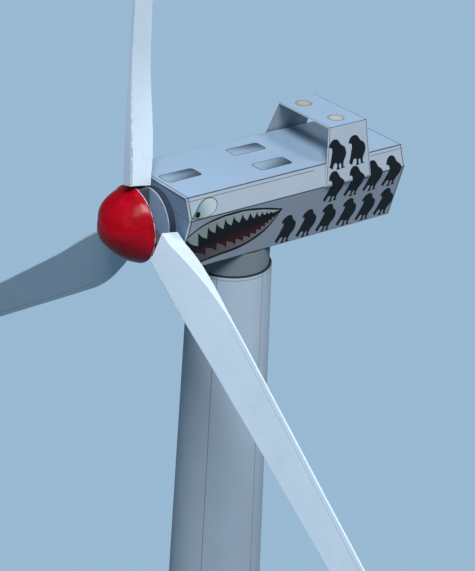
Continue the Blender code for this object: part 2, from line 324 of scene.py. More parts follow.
def grain(finish, place, cloud=0.10, fine=0.10):
    """A factor near one for a card's tint, its bump, and the pores that both follow."""
    pores = finish.noise(place, 0.5 * MM, 3.0, 0.65)
    drift = finish.noise(place, 16.0 * MM, 2.0, 0.5)
    factor = 1.0 + (pores - 0.5) * (fine * 2.0) + (drift - 0.5) * (cloud * 2.0)
    fibres = finish.noise(place, 0.25 * MM, 4.0, 0.7)
    return factor, finish.bump(fibres + pores * 0.6, 0.02 * MM, 0.5), pores


def card_ends(finish, base, fibres, roughness, swing=0.14):
    """Feed the shader of a card finish: its colour times the grain, its relief, and its roughness."""
    factor, bump, pores = fibres
    return finish.ends(Base_Color=finish.multiply(base, factor), Normal=bump,
                       Roughness=roughness + (pores - 0.5) * swing)


def card(name, tint, roughness=0.68, cloud=0.10, fine=0.10):
    """Plain printed card."""
    finish = Finish(name, Specular_IOR_Level=0.3)
    return card_ends(finish, tint, grain(finish, finish.place(), cloud, fine), roughness, 0.12)


cut_edge = card("cut_edge", CARD_EDGE, 0.75, 0.05, 0.14)
inner_card = card("inner_card", print_tint(170, 176, 184), 0.75)
print("plain card finishes made")


# %% [markdown]
# ## From bmesh to piece
# Each new piece is modelled in a bmesh, in the model's own place. One helper turns it into an object: it
# points the faces outwards, gives it its finishes, lets it ride on its body and hides the parts that it
# stands for.

# %% A piece
def piece(name, bm, looks, body, stands_for=(), angle=40.0, turn_out=True):
    """An object from a bmesh, riding on a body."""
    if turn_out:
        bmesh.ops.recalc_face_normals(bm, faces=bm.faces)
    mesh = bpy.data.meshes.new(name)
    bm.to_mesh(mesh)
    bm.free()
    for look in looks:
        mesh.materials.append(look)
    mesh.shade_smooth()
    mesh.set_sharp_from_angle(angle=radians(angle))
    made = bpy.data.objects.new(name, mesh)
    bpy.context.scene.collection.objects.link(made)
    even = made.modifiers.new("flat_faces", "WEIGHTED_NORMAL")
    even.weight = 80
    even.keep_sharp = True
    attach(made, body)
    if stands_for:
        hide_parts(*stands_for)
    print(name, len(mesh.polygons), "faces")
    return made


# %% Spin, copy and soften
def turned(profile, axis, steps=96):
    """Spin a profile of (radius, height) points round Y or Z."""
    bm = bmesh.new()
    pole = (0.0, 1.0, 0.0) if axis == "Y" else (0.0, 0.0, 1.0)
    points = [Vector((radius, 0.0, 0.0)) + Vector(pole) * height for radius, height in profile]
    verts = [bm.verts.new(point) for point in points]
    edges = [bm.edges.new(pair) for pair in zip(verts, verts[1:])]
    if min(radius for radius, _ in profile) > 0.0:
        edges.append(bm.edges.new((verts[-1], verts[0])))
    bmesh.ops.spin(bm, geom=verts + edges, cent=(0.0, 0.0, 0.0), axis=pole,
                   angle=2.0 * pi, steps=steps, use_merge=True)
    bmesh.ops.remove_doubles(bm, verts=bm.verts, dist=0.001 * MM)
    bmesh.ops.recalc_face_normals(bm, faces=bm.faces)
    return bm


def copy_of(node):
    """A CAD node's mesh as one closed bmesh, with its flat faces whole again."""
    bm = bmesh.new()
    bm.from_mesh(nodes[node].data)
    bmesh.ops.remove_doubles(bm, verts=bm.verts, dist=0.005 * MM)
    bmesh.ops.dissolve_limit(bm, angle_limit=radians(0.5), use_dissolve_boundaries=False,
                             verts=bm.verts, edges=bm.edges)
    return bm


def soften(bm, width, segments=2, least=25.0):
    """Bevel the folds that are sharper than an angle."""
    sharp = [edge for edge in bm.edges
             if len(edge.link_faces) == 2 and edge.calc_face_angle() > radians(least)]
    bmesh.ops.bevel(bm, geom=sharp, offset=width, offset_type="OFFSET", segments=segments, profile=0.5,
                    affect="EDGES", clamp_overlap=True, material=-1)


# %% [markdown]
# ## The nacelle's measures
# The hull is folded from one sheet into a six-sided tube, widest at the crease along each flank. Its sizes
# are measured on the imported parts.

# %% The hull's section
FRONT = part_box("front_plate")[0].y
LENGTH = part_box("rear_plate")[1].y - FRONT
RISE = 8.01 * MM
CREASE_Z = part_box("rear_plate")[1].z - RISE
DROP = CREASE_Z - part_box("rear_plate")[0].z
CREASE_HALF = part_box("rear_plate")[1].x
ROOF_HALF = 17.83 * MM
FLOOR_HALF = 14.15 * MM
CARD = 0.5 * MM
STRIP = 0.4 * MM
HULL_FOLDS = ((ROOF_HALF, RISE), (CREASE_HALF, 0.0), (FLOOR_HALF, -DROP),
              (-FLOOR_HALF, -DROP), (-CREASE_HALF, 0.0), (-ROOF_HALF, RISE))
DISC_RADIUS = 12.1 * MM
DRUM_RADIUS = 11.7 * MM
SHAFT_HOLE = 1.9 * MM
AXIS_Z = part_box("bearing_disc")[0].z + DISC_RADIUS
print("hull", round(LENGTH / MM, 1), "mm long, crease at", round(CREASE_Z / MM, 2), "axis",
      round(AXIS_Z / MM, 2))


# %% [markdown]
# ## The hull's print
# All faces of the hull were printed on one sheet, so they share one finish. It reads the place of each
# point and draws what the sheet shows: a thin dark line along every fold and edge, a seam under the roof's
# fold, and three rounded hatches on the roof, shaded from light to dark as if they were sunk into it. The
# lower faces of the flanks get a lighter grey than the upper ones: that is painted light, not print.
# Mirrored hatches need only one sum, because the distance across is made positive first.

# %% Shapes that are drawn by distance
HAIRLINE = 0.22 * MM
THIN_LINE = 0.24 * MM
EDGE_LINE = 0.34 * MM


def stripe(distance, width, soft=0.06 * MM):
    """1 on a printed line, where the distance to its middle is less than half its width."""
    return abs(distance).below(width / 2.0, soft)


def far(across, up):
    """The length of a flat vector."""
    return (across * across + up * up) ** 0.5


def rounded(across, along, half_width, half_length, radius):
    """The distance to the outline of a rectangle with round corners, less than zero inside."""
    beside = abs(across) - (half_width - radius)
    beyond = abs(along) - (half_length - radius)
    return far(beside.most(0.0), beyond.most(0.0)) + beside.most(beyond).least(0.0) - radius


# %% The hull's finish
SIDE_TINT = print_tint(160, 165, 172)
# Painted light: the lower flanks have the same print as the upper ones, drawn lighter for the light they get.
LOWER_FLANK_PAINTED_LIGHT = print_tint(175, 177, 184)
ROOF_TINT = print_tint(142, 159, 176)
SEAM_HEIGHT = 6.6 * MM
SEAM_ENDS = 57.0 * MM
SEAM_STARTS = 84.0 * MM
# A hatch's middle along the hull, its half width and its length
FRONT_HATCH = (9.85 * MM, 3.5 * MM, 14.7 * MM)
SIDE_HATCHES = (45.25 * MM, 3.3 * MM, 14.5 * MM)
SIDE_HATCH_OFFSET = 8.0 * MM


def hatch(finish, base, across, along, middle, half_width, length):
    """A hatch drawn on the roof: a rounded frame, dark towards its rear."""
    inside = along - (middle - length / 2.0)
    distance = rounded(across, along - middle, half_width, length / 2.0, 1.3 * MM)
    shade = (inside * (1.0 / length) * 0.75 + across * (0.25 / half_width) + 0.05).spread(0.0, 1.0)
    fill = finish.mix(shade, print_tint(138, 153, 167), print_tint(46, 60, 74))
    drawn = finish.mix(distance.below(0.0), base, fill)
    return finish.mix(stripe(distance, 0.32 * MM), drawn, INK)


def hull_finish():
    """The print of the whole folded sheet, and painted light that makes its lower flanks lighter."""
    finish = Finish("hull_print_and_painted_light", Specular_IOR_Level=0.3)
    place = finish.place()
    across, along, height = finish.axes(place)
    across = abs(across)
    along = along - FRONT
    height = height - CREASE_Z
    fibres = grain(finish, place, 0.06, 0.09)
    roof = height.above(RISE - 0.1 * MM)
    # The lower flanks take the lighter grey here: painted light.
    base = finish.mix(roof, finish.mix(height.below(0.0), SIDE_TINT, LOWER_FLANK_PAINTED_LIGHT), ROOF_TINT)
    base = hatch(finish, base, across, along, *FRONT_HATCH)
    base = hatch(finish, base, across - SIDE_HATCH_OFFSET, along, *SIDE_HATCHES)
    folds = far(across - ROOF_HALF, height - RISE).below(0.30 * MM, 0.08 * MM)
    folds = folds.most(far(across - CREASE_HALF, height).below(0.25 * MM, 0.08 * MM))
    folds = folds.most(far(across - FLOOR_HALF, height + DROP).below(0.25 * MM, 0.08 * MM))
    seam = stripe(height - SEAM_HEIGHT, THIN_LINE) * (along.below(SEAM_ENDS) + along.above(SEAM_STARTS))
    ends = stripe(along - 0.75 * MM, EDGE_LINE).most(stripe(along - (LENGTH - 0.5 * MM), EDGE_LINE))
    lines = folds.most(seam * 0.75).most(ends)
    faded = lines * (0.80 + 0.25 * finish.noise(place, 2.5 * MM))
    return card_ends(finish, finish.mix(faded, base, INK), fibres, 0.66)


hull_print_and_painted_light = hull_finish()
print("hull print:", len(hull_print_and_painted_light.node_tree.nodes), "nodes")


# %% [markdown]
# ## The folded hull
# On the real model this is one strip of card, scored and folded into a tube. Six corner points joined in a
# ring and pulled along the hull give its faces, bevelled edges give the folds their small radius, and a
# wall is grown inwards. A solid block would hide that the front and rear plates sit a little inside the
# tube, behind its cut edge.

# %% Fold the hull
def paint(bm, index, wanted):
    """Give the faces that a test picks the finish with this number."""
    for face in bm.faces:
        if wanted(face):
            face.material_index = index


def only(grown, kind):
    return [part for part in grown["geom"] if isinstance(part, kind)]


def lengthwise(edge):
    run = edge.verts[1].co - edge.verts[0].co
    return abs(run.y) > 0.9 * run.length


def folded_tube(corners, start, length, radius, wall):
    """A closed ring of corners pulled along Y, its folds rounded, with a wall grown inwards."""
    bm = bmesh.new()
    ring = [bm.verts.new((x, start, CREASE_Z + z)) for x, z in corners]
    edges = [bm.edges.new((ring[index - 1], ring[index])) for index in range(len(ring))]
    grown = bmesh.ops.extrude_edge_only(bm, edges=edges)
    bmesh.ops.translate(bm, verts=only(grown, bmesh.types.BMVert), vec=(0.0, length, 0.0))
    folds = [edge for edge in bm.edges if lengthwise(edge)]
    bmesh.ops.bevel(bm, geom=folds, offset=radius, offset_type="OFFSET", segments=3, profile=0.5,
                    affect="EDGES", clamp_overlap=True, material=-1)
    bmesh.ops.recalc_face_normals(bm, faces=bm.faces)
    bmesh.ops.solidify(bm, geom=bm.faces[:], thickness=wall)
    return bm


hull_bm = folded_tube(HULL_FOLDS, FRONT, LENGTH, 0.35 * MM, CARD)
widest = max(vert.co.x for vert in hull_bm.verts)
print("hull reaches", round(widest / MM, 2), "of", round(CREASE_HALF / MM, 2))


def is_rim(face):
    return abs(face.normal.y) > 0.9


def is_inner(face):
    middle = face.calc_center_median() - Vector((0.0, 0.0, CREASE_Z - 0.35 * DROP))
    return not is_rim(face) and face.normal.x * middle.x + face.normal.z * middle.z < 0.0


bmesh.ops.recalc_face_normals(hull_bm, faces=hull_bm.faces)
paint(hull_bm, 1, is_inner)
paint(hull_bm, 2, is_rim)
HULL_PANELS = ("roof_panel", "floor_panel", "right_upper_side", "right_lower_side", "left_upper_side",
               "left_lower_side")
piece("hull_sheet", hull_bm, (hull_print_and_painted_light, inner_card, cut_edge), "nacelle", HULL_PANELS,
      turn_out=False)


# %% [markdown]
# ## The two plates
# The front plate sits a third of a millimetre inside the tube, so its edge is in shadow behind the hull's
# cut edge. It has a hole for the shaft. A face with a hole is made by filling between two rings of edges,
# which needs no list of triangles. The rear plate is made the same way, without the hole. The plates and
# the bearing's disc grow darker towards the bottom as painted shade, and the front plate's grey is darker
# and bluer than the hull's, painted shade of the face that looks away from the lamps.

# %% Plates
def inset_corners(distance):
    """The hull's corners moved inwards, as the meeting points of its moved sides."""
    corners = [Vector(corner) for corner in HULL_FOLDS]
    moved = []
    for index, corner in enumerate(corners):
        before = (corner - corners[index - 1]).normalized()
        after = (corners[(index + 1) % 6] - corner).normalized()
        middle = (Vector((before.y, -before.x)) + Vector((after.y, -after.x))).normalized()
        moved.append(corner + middle * (distance / middle.dot(Vector((after.y, -after.x)))))
    return moved


def plate(distance, start, thickness, hole=0.0):
    """A plate in the hull's shape, smaller by a distance, with its edges a little rounded."""
    bm = bmesh.new()
    rim = [bm.verts.new((point.x, start, CREASE_Z + point.y)) for point in inset_corners(distance)]
    for index, vert in enumerate(rim):
        bm.edges.new((rim[index - 1], vert))
    if hole:
        turn = Matrix.Translation((0.0, start, AXIS_Z)) @ Matrix.Rotation(radians(90), 4, "X")
        bmesh.ops.create_circle(bm, cap_ends=False, segments=32, radius=hole, matrix=turn)
    bmesh.ops.triangle_fill(bm, use_beauty=True, use_dissolve=False, edges=bm.edges)
    grown = bmesh.ops.extrude_face_region(bm, geom=bm.faces[:])
    bmesh.ops.translate(bm, verts=only(grown, bmesh.types.BMVert), vec=(0.0, thickness, 0.0))
    bmesh.ops.recalc_face_normals(bm, faces=bm.faces)
    soften(bm, 0.08 * MM, 2, 60.0)
    paint(bm, 1, lambda face: abs(face.normal.y) < 0.5)
    return bm


# %% The plates' print
def plate_finish(name, tint, shade, crease=True):
    """A printed plate, darker towards its lower part as painted shade, with a thin line at the crease's
    height.
    """
    finish = Finish(name, Specular_IOR_Level=0.3)
    place = finish.place()
    _, _, height = finish.axes(place)
    fibres = grain(finish, place, 0.12, 0.10)
    # Painted shade: the plate grows darker towards its bottom.
    painted_shade_share = (height - (CREASE_Z - DROP)).spread(0.0, DROP + RISE)
    base = finish.mix(painted_shade_share, shade, tint)
    if crease:
        base = finish.mix(stripe(height - CREASE_Z, HAIRLINE) * 0.6, base, INK)
    return card_ends(finish, base, fibres, 0.68)


# Painted shade: the front plate's grey is darker and bluer than the hull's card.
front_print_and_shade = plate_finish("front_print_and_shade", print_tint(123, 144, 166), print_tint(104, 122, 144))
rear_print_and_shade = plate_finish("rear_print_and_shade", print_tint(162, 168, 176), print_tint(152, 158, 167))
RECESS = 0.35 * MM
PLATE_INSET = CARD + 0.08 * MM
piece("front_board", plate(PLATE_INSET, FRONT + RECESS, CARD, SHAFT_HOLE), (front_print_and_shade, cut_edge),
      "nacelle", ("front_plate",))
piece("rear_board", plate(PLATE_INSET, FRONT + LENGTH - RECESS - CARD, CARD), (rear_print_and_shade, cut_edge),
      "nacelle", ("rear_plate",))


# %% [markdown]
# ## The bridge
# A strip of thinner card is folded over the roof near the rear: two legs, glued along the flanks, and a
# flat top with two round lamps printed on it. Its edges lean, so each row of points is given its own place
# along the hull. The strip is three faces in a row with two bevelled folds, and a wall grown inwards.

# %% The bridge's print
BRIDGE_RISE = 20.5 * MM
BRIDGE_HALF = 15.2 * MM
BRIDGE_FOOT_HALF = 21.2 * MM
# Where the strip starts and ends along the hull, at its top and at its foot
BRIDGE_TOP = (65.5 * MM, 83.5 * MM)
BRIDGE_FOOT = (60.8 * MM, 82.6 * MM)
LAMP_RADIUS = 3.0 * MM
# Each lamp's place across and along the hull, and the colour of its glass
LAMPS = (((-9.7 * MM, 73.2 * MM), (168, 161, 137)), ((8.3 * MM, 74.3 * MM), (177, 170, 161)))


def bridge_finish():
    """The strip's print: thin lines along its edges and folds, and two lamps on its top."""
    finish = Finish("bridge_print", Specular_IOR_Level=0.3)
    place = finish.place()
    across, along, height = finish.axes(place)
    along = along - FRONT
    height = height - CREASE_Z
    fibres = grain(finish, place, 0.06, 0.09)
    top = height.above(BRIDGE_RISE - 0.15 * MM)
    base = finish.mix(top, SIDE_TINT, ROOF_TINT)
    share = height * (1.0 / BRIDGE_RISE)
    front = along - BRIDGE_FOOT[0] - share * (BRIDGE_TOP[0] - BRIDGE_FOOT[0])
    rear = along - BRIDGE_FOOT[1] - share * (BRIDGE_TOP[1] - BRIDGE_FOOT[1])
    lines = stripe(front - 0.35 * MM, HAIRLINE).most(stripe(rear + 0.35 * MM, HAIRLINE))
    lines = lines.most(far(abs(across) - BRIDGE_HALF, height - BRIDGE_RISE).below(0.2 * MM, 0.08 * MM))
    lines = lines.most(stripe(height - 0.3 * MM, HAIRLINE))
    for spot, glass in LAMPS:
        distance = far(across - spot[0], along - spot[1])
        to_rim = (distance * (1.0 / LAMP_RADIUS)).spread(0.0, 1.0)
        shaded = finish.mix(to_rim, print_tint(*glass), tuple(part * 0.8 for part in print_tint(*glass)))
        base = finish.mix(distance.below(LAMP_RADIUS) * top, base, shaded)
        lines = lines.most(stripe(distance - LAMP_RADIUS, 0.3 * MM) * top)
    return card_ends(finish, finish.mix(lines * 0.9, base, INK), fibres, 0.66)


# %% Fold the bridge
def bridge_strip():
    """Three faces folded over the roof, grown inwards to the card's thickness."""
    bm = bmesh.new()
    places = ((BRIDGE_FOOT_HALF, 0.0), (BRIDGE_HALF, BRIDGE_RISE), (-BRIDGE_HALF, BRIDGE_RISE),
              (-BRIDGE_FOOT_HALF, 0.0))
    front = []
    for x, z in places:
        starts = (BRIDGE_TOP if z else BRIDGE_FOOT)[0]
        front.append(bm.verts.new((x, FRONT + starts, CREASE_Z + z)))
    edges = [bm.edges.new(pair) for pair in zip(front, front[1:])]
    rear = only(bmesh.ops.extrude_edge_only(bm, edges=edges), bmesh.types.BMVert)
    for vert in rear:
        high = vert.co.z > CREASE_Z + 1.0 * MM
        vert.co.y = FRONT + (BRIDGE_TOP if high else BRIDGE_FOOT)[1]
    folds = [edge for edge in bm.edges if len(edge.link_faces) == 2]
    bmesh.ops.bevel(bm, geom=folds, offset=0.3 * MM, offset_type="OFFSET", segments=3, profile=0.5,
                    affect="EDGES", clamp_overlap=True, material=-1)
    bmesh.ops.recalc_face_normals(bm, faces=bm.faces)
    if sum(face.normal.z for face in bm.faces) < 0.0:
        bmesh.ops.reverse_faces(bm, faces=bm.faces)
    bmesh.ops.solidify(bm, geom=bm.faces[:], thickness=STRIP)
    bmesh.ops.recalc_face_normals(bm, faces=bm.faces)
    return bm


def strip_face(face):
    """0 for the printed outside, 1 for the plain inside, 2 for a cut edge."""
    middle = face.calc_center_median()
    at_the_foot = face.normal.z < -0.8 and abs(middle.z - CREASE_Z) < MM
    if abs(face.normal.y) > 0.85 or at_the_foot:
        return 2
    return 0 if face.normal.x * middle.x + face.normal.z * (middle.z - CREASE_Z) > 0.0 else 1


bridge_bm = bridge_strip()
for index in (1, 2):
    paint(bridge_bm, index, lambda face: strip_face(face) == index)
bridge_print = bridge_finish()
piece("bridge_strip", bridge_bm, (bridge_print, inner_card, cut_edge), "nacelle",
      ("bridge_top", "bridge_leg_right", "bridge_leg_left"))


# %% [markdown]
# ## The bearing
# In front of the plate sits a low drum with a wider disc glued on it. The drum's side is drawn near black:
# that is painted shade, for the dark gap under the disc's rim. A ring's profile has only four corners, so
# spinning it is the shortest way. The disc is cut by hand, so its pale edge is not quite even: a few
# ripples, a few hundredths of a millimetre deep, show that.

# %% Round pieces of card
AXIS = (0.0, 0.0, AXIS_Z)


def ripple(bm, centre, axis, depth, waves):
    """Push a round piece's points in and out by soft noise, as scissors leave it."""
    for vert in bm.verts:
        arm = vert.co - centre
        arm[axis] = 0.0
        if arm.length > 0.5 * MM:
            way = arm.normalized()
            vert.co += way * (noise.noise(way * waves + Vector((0.3, 0.7, 0.1))) * depth)


def ring_piece(name, radius, hole, low, high, looks, stands_for, body="nacelle"):
    """A flat round with a hole on the rotor's axis, its rim softened and its side painted as a cut edge."""
    bm = turned([(hole, low), (radius, low), (radius, high), (hole, high)], "Y")
    bmesh.ops.translate(bm, verts=bm.verts, vec=AXIS)
    ripple(bm, Vector(AXIS), 1, 0.05 * MM, 3.0)
    soften(bm, 0.06 * MM, 2, 60.0)
    paint(bm, 1, lambda face: abs(face.normal.y) < 0.6)
    return piece(name, bm, looks, body, stands_for)


disc_print_and_shade = plate_finish("disc_print_and_shade", print_tint(153, 179, 202), print_tint(143, 168, 192), crease=False)
# Painted shade: the drum's side is drawn near black for the shadow under the disc.
drum_painted_shade = card("drum_painted_shade", print_tint(46, 52, 66), 0.7, 0.16)
disc_edge = card("disc_edge", print_tint(168, 176, 186), 0.75, 0.05, 0.14)
disc_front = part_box("bearing_disc")[0].y
ring_piece("bearing_round", DISC_RADIUS, SHAFT_HOLE, disc_front, disc_front + STRIP,
           (disc_print_and_shade, disc_edge), ("bearing_disc",))
ring_piece("bearing_wall", DRUM_RADIUS, SHAFT_HOLE, disc_front + STRIP, FRONT + RECESS,
           (drum_painted_shade, drum_painted_shade), ("bearing_drum",))


# %% [markdown]
# ## Rolled tubes
# The tower is a slim cone rolled from two sheets, and the neck below the hull is a short tube that stands
# in its mouth. Thin lines are printed down the tower's length and just below its rim. A line down a cone is
# a line at one angle round the axis: the arctangent of the two flat places gives that angle, and times the
# radius it is a distance. The glued seam of the rolled sheet is one more of these lines, on the side away
# from the camera.

# %% The tower's print
TOWER_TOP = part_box("tower_upper_tube")[1].z
TOWER_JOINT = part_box("tower_lower_tube")[1].z
TOP_RADIUS = 15.72 * MM
TAPER = 0.0215
LINE_ANGLES = (-54.6, 13.8, 82.0, 151.0, -141.0)


def tower_radius(height):
    return TOP_RADIUS + TAPER * (TOWER_TOP - height)


def tower_finish():
    """Pale card with lines down the tube and round its ends."""
    finish = Finish("tower_print", Specular_IOR_Level=0.3)
    place = finish.place()
    across, along, height = finish.axes(place)
    fibres = grain(finish, place, 0.07, 0.08)
    angle = finish.maths("ARCTAN2", along, across)
    lines = stripe(height - (TOWER_TOP - 1.1 * MM), THIN_LINE)
    for degrees in LINE_ANGLES:
        lines = lines.most(stripe((angle - radians(degrees)) * TOP_RADIUS, THIN_LINE))
    joint = stripe(height - TOWER_JOINT, 0.35 * MM).most(stripe(height - 1.0 * MM, 0.3 * MM))
    base = finish.mix(lines * 0.62, print_tint(182, 189, 198), INK)
    return card_ends(finish, finish.mix(joint * 0.8, base, INK), fibres, 0.64)


tower_print = tower_finish()
print("tower", round(TOWER_TOP / MM, 1), "mm high, its rim's radius", round(TOP_RADIUS / MM, 2), "mm")

# %% [markdown]
# Each tube is a profile of four points turned about the axis. Its rims are rounded a little. The tower's
# rim and inner wall and the foot of the neck are drawn near black: painted shade, for the dark ring
# where the neck stands in the tower's mouth. The discs at the tower's foot and top and under the neck are
# plain rounds, so they keep their own shape and only take the card's finish.

# %% The tower
def tube(name, outer_low, outer_high, low, high, wall, looks, body, stands_for):
    """A rolled tube from a low height to a high one, on the tower's axis."""
    profile = [(outer_low, low), (outer_high, high), (outer_high - wall, high), (outer_low - wall, low)]
    bm = turned(profile, "Z", 128)
    soften(bm, 0.12 * MM, 2, 60.0)
    ripple(bm, Vector((0.0, 0.0, 0.0)), 2, 0.04 * MM, 1.6)
    wall_middle = (outer_low + outer_high - wall) / 2.0
    slope = (outer_low - outer_high) / (high - low)

    def is_inside(face):
        spot = face.calc_center_median()
        return hypot(*spot.xy) < wall_middle + slope * ((low + high) / 2.0 - spot.z)

    paint(bm, 1, is_inside)
    paint(bm, 2, lambda face: abs(face.normal.z) > 0.7)
    return piece(name, bm, looks, body, stands_for)


WALL = 0.8 * MM
# Painted shade: the tubes' inner walls and rims are drawn near black.
tower_looks = (tower_print, card("shaded_wall", print_tint(34, 37, 44), 0.8),
               card("shaded_edge", print_tint(52, 55, 60), 0.8))
tube("tower_low", tower_radius(0.0), tower_radius(TOWER_JOINT), 0.0, TOWER_JOINT, WALL, tower_looks,
     "tower", ("tower_lower_tube",))
tube("tower_high", tower_radius(TOWER_JOINT), TOP_RADIUS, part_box("tower_upper_tube")[0].z, TOWER_TOP, WALL,
     tower_looks, "tower", ("tower_upper_tube",))


# %% The neck
def neck_finish():
    """Grey card, drawn near black as painted shade where it stands in the tower's mouth."""
    finish = Finish("neck_card_painted_shade", Specular_IOR_Level=0.3)
    place = finish.place()
    _, _, height = finish.axes(place)
    fibres = grain(finish, place, 0.07, 0.08)
    # Painted shade: a near-black band just above the tower's rim.
    painted_mouth_shade = height.below(TOWER_TOP + 0.35 * MM, 0.25 * MM)
    base = finish.mix(painted_mouth_shade, print_tint(124, 128, 132), print_tint(16, 18, 22))
    return card_ends(finish, base, fibres, 0.68)


neck_looks = (neck_finish(), inner_card, tower_looks[2])
neck_low, neck_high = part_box("neck_tube")
tube("neck_collar", neck_high.x, neck_high.x, neck_low.z, neck_high.z, WALL, neck_looks, "nacelle",
     ("neck_tube",))
for name in ("tower_foot_disc", "tower_top_disc", "neck_foot_disc"):
    nodes[name].material_slots[0].material = inner_card


# %% [markdown]
# ## Hub, sockets and shaft
# Behind the nose stands a small dark core with a folded box under each blade. They keep the shapes of the
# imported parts, so a copy of each is merged, its edges are rounded and it gets a dark card that shows a
# little wear. The shaft is a thin wooden stick, whose grain runs along it: the noise is stretched in that
# direction.

# %% The hub
hub_card = card("hub_card", print_tint(70, 68, 72), 0.6, 0.2, 0.2)
for node in ("hub_core", "blade_socket_1", "blade_socket_2", "blade_socket_3"):
    hub_bm = copy_of(node)
    soften(hub_bm, 0.18 * MM, 2)
    piece(node.replace("blade_", "") + "_card", hub_bm, (hub_card,), "rotor", (node,))


def wood():
    """Pale wood with its grain along the shaft."""
    finish = Finish("shaft_grain", Specular_IOR_Level=0.3)
    stretched = finish.node("ShaderNodeMapping", None,
                            {"Vector": finish.place(), "Scale": (3000.0, 180.0, 3000.0)})
    streaks = finish.node("ShaderNodeTexNoise", None, {"Vector": stretched, "Scale": 1.0, "Detail": 3.0})
    base = finish.mix(streaks.spread(0.3, 0.7), print_tint(196, 160, 112), print_tint(146, 108, 66))
    return finish.ends(Base_Color=base, Normal=finish.bump(streaks, 0.03 * MM), Roughness=0.5 + streaks * 0.2)


nodes["rotor_shaft"].material_slots[0].material = wood()


# %% [markdown]
# ## The red nose
# The nose was shaped by hand from filler and painted with a brush: it is round but a little lumpy, glossy,
# with slow waves and fine brush marks. Its profile is turned, then every point is moved a little by soft
# noise. The card disc behind it is red too, but its rim shows pale card where the paint has worn.

# %% The nose's paint
def nose_paint():
    """Deep red gloss paint with slow waves, brush marks and darker hollows."""
    finish = Finish("nose_paint", Specular_IOR_Level=0.04, Coat_Roughness=0.2)
    place = finish.place()
    waves = finish.noise(place, 5.0 * MM, 2.0)
    marks = finish.noise(place, 0.9 * MM, 3.0, 0.6)
    specks = finish.noise(place, 0.35 * MM, 2.0)
    share = (waves * 0.6 + marks * 0.4).spread(0.3, 0.7)
    base = finish.mix(share, print_tint(152, 0, 14), print_tint(178, 3, 26))
    base = finish.mix(specks.spread(0.70, 0.82) * 0.25, base, print_tint(118, 2, 12))
    bump = finish.bump(waves * 1.5 + marks * 0.25, 0.35 * MM, 0.6)
    return finish.ends(Base_Color=base, Normal=bump, Roughness=0.34 + marks * 0.16,
                       Coat_Weight=0.10 + waves * 0.24)


def worn_rim():
    """Pale card with red paint rubbed over parts of it."""
    finish = Finish("worn_rim", Specular_IOR_Level=0.35)
    place = finish.place()
    factor, bump, pores = grain(finish, place)
    left = finish.noise(place, 3.0 * MM, 3.0, 0.6).spread(0.42, 0.56)
    base = finish.mix(left * 0.8, print_tint(196, 160, 168), print_tint(112, 18, 36))
    return finish.ends(Base_Color=finish.multiply(base, factor), Normal=bump, Roughness=0.6 + pores * 0.1)


# %% Turn the nose
NOSE_RADIUS = 14.24 * MM
NOSE_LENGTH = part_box("spinner")[1].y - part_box("spinner")[0].y
NOSE_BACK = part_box("spinner")[1].y
NOSE_STEPS = 28
profile = [(0.0, 0.0), (0.6 * NOSE_RADIUS, 0.0)]
for step in range(NOSE_STEPS):
    share = (step / NOSE_STEPS) ** 1.5
    profile.append((NOSE_RADIUS * (1.0 - share ** 1.05) ** (1.0 / 2.1), -share * NOSE_LENGTH))
profile.append((0.0, -NOSE_LENGTH))
nose_bm = turned(profile, "Y")
bmesh.ops.translate(nose_bm, verts=nose_bm.verts, vec=(0.0, NOSE_BACK, AXIS_Z))
nose_middle = Vector((0.0, NOSE_BACK - 3.0 * MM, AXIS_Z))
SHOULDER = Vector((-0.68, -0.39, 0.64)).normalized()
for vert in nose_bm.verts:
    ahead = min(1.0, (NOSE_BACK - vert.co.y) / (1.5 * MM))
    way = (vert.co - nose_middle).normalized()
    lump = noise.noise(vert.co * 110.0) * 0.55 + noise.noise(vert.co * 320.0) * 0.12
    lump += max(0.0, (way.dot(SHOULDER) - 0.80) / 0.20) ** 1.5
    vert.co += way * (lump * MM * ahead)
soften(nose_bm, 0.15 * MM, 2, 50.0)
nose_red = nose_paint()
piece("nose", nose_bm, (nose_red,), "rotor", ("spinner",), 50.0)
disc_low, disc_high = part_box("spinner_disc")
ring_piece("nose_round", disc_high.x, 2.5 * MM, disc_low.y, disc_high.y, (nose_red, worn_rim()),
           ("spinner_disc",), "rotor")


# %% [markdown]
# ## Blades
# Each blade is one sheet of pale card, folded into a deep box at the root that flattens further out. Its
# outline is drawn from two edges, one nearly straight and one that swells. A ring of four corners is pulled
# out from station to station, so the four folds stay continuous and can be bevelled. The print needs to
# follow the sheet, so each point keeps a UV place: how far it is from the straight edge, and how far out
# from the slanting end at the root. A broken line is printed along the straight fold, and the cut end at
# the root stays white. The three were glued at unlike pitches.

# %% A blade's outline
# Azimuth, pitch and lean in degrees, then three lengths in millimetres: how far the blade stands before the
# hull's front edge, how far out its root is, and its depth there
BLADES = {"blade_1": (0.2, -54.6, -0.65, 14.0, 16.6, 6.0),
          "blade_2": (121.9, -11.3, 2.4, 9.5, 15.4, 7.4),
          "blade_3": (237.4, -27.5, -1.0, 9.6, 14.6, 3.6)}
STATIONS = (17, 20, 23, 26, 30, 34, 39, 44, 50, 57, 65, 75, 88, 104, 124, 150, 180, 210, 240, 265, 285)
TIP = ((295, 0.92), (301, 0.72), (305, 0.40))
ROOT_EDGE = 2.4
ROOT_SLANT = 0.30
SWELL_START = 11.0
SWELL_END = 61.0


def ease(value):
    value = min(1.0, max(0.0, value))
    return value * value * (3.0 - 2.0 * value)


def edges_at(reach):
    """The places of the straight and the curved edge across the blade, in millimetres."""
    share = min(1.0, max(0.0, (reach - SWELL_START) / (SWELL_END - SWELL_START)))
    straight = ROOT_EDGE - 0.044 * reach + 0.8 * sin(pi * share)
    curved = -8.4 - 10.6 * sin(pi / 2.0 * share) + 0.014 * max(0.0, reach - SWELL_END)
    return straight, curved


